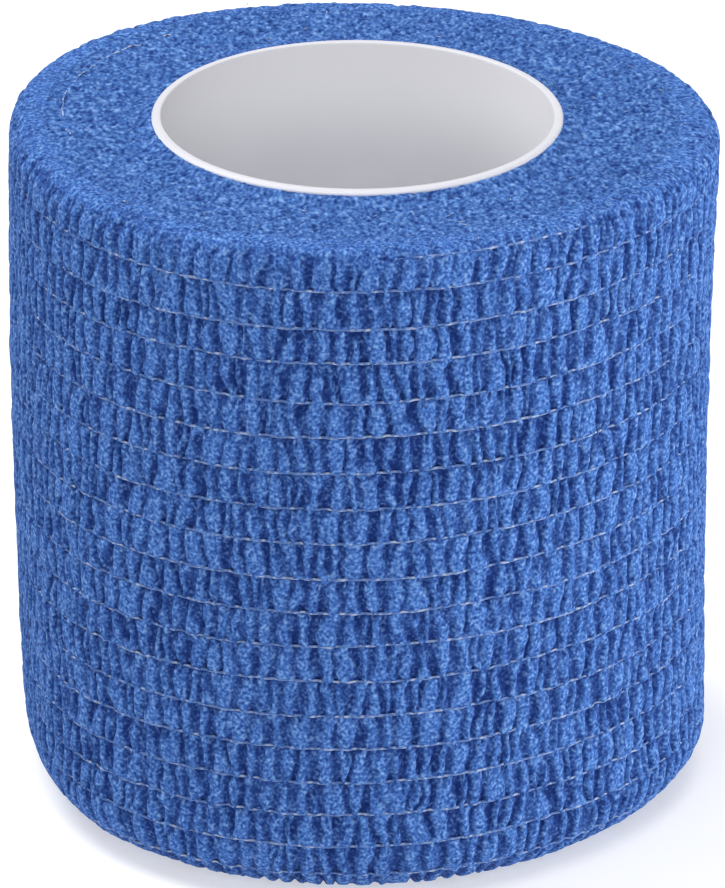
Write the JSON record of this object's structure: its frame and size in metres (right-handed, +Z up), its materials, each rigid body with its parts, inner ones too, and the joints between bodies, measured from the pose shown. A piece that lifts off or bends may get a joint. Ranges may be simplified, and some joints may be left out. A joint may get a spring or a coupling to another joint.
{
  "type": "sock tape roll",
  "caption": "Roll of elastic crinkled self-adherent sock tape, wound on a bare white tube and standing on one end.",
  "frame": {"origin": "on the surface that the roll stands on, under the middle of its outline", "axes": "+Z up along the tube, -Y towards the front of the roll, the tape's outer end at the back"},
  "size_m": [0.0508, 0.0484, 0.0503],
  "materials": {
    "core_tube": "white satin plastic",
    "wound_cloth": "matt blue crinkled non-woven",
    "thread": "off-white elastic thread"
  },
  "bodies": {
    "root": {"core_tube": "core_tube", "wound_cloth": "wound_cloth"}
  },
  "joints": []
}
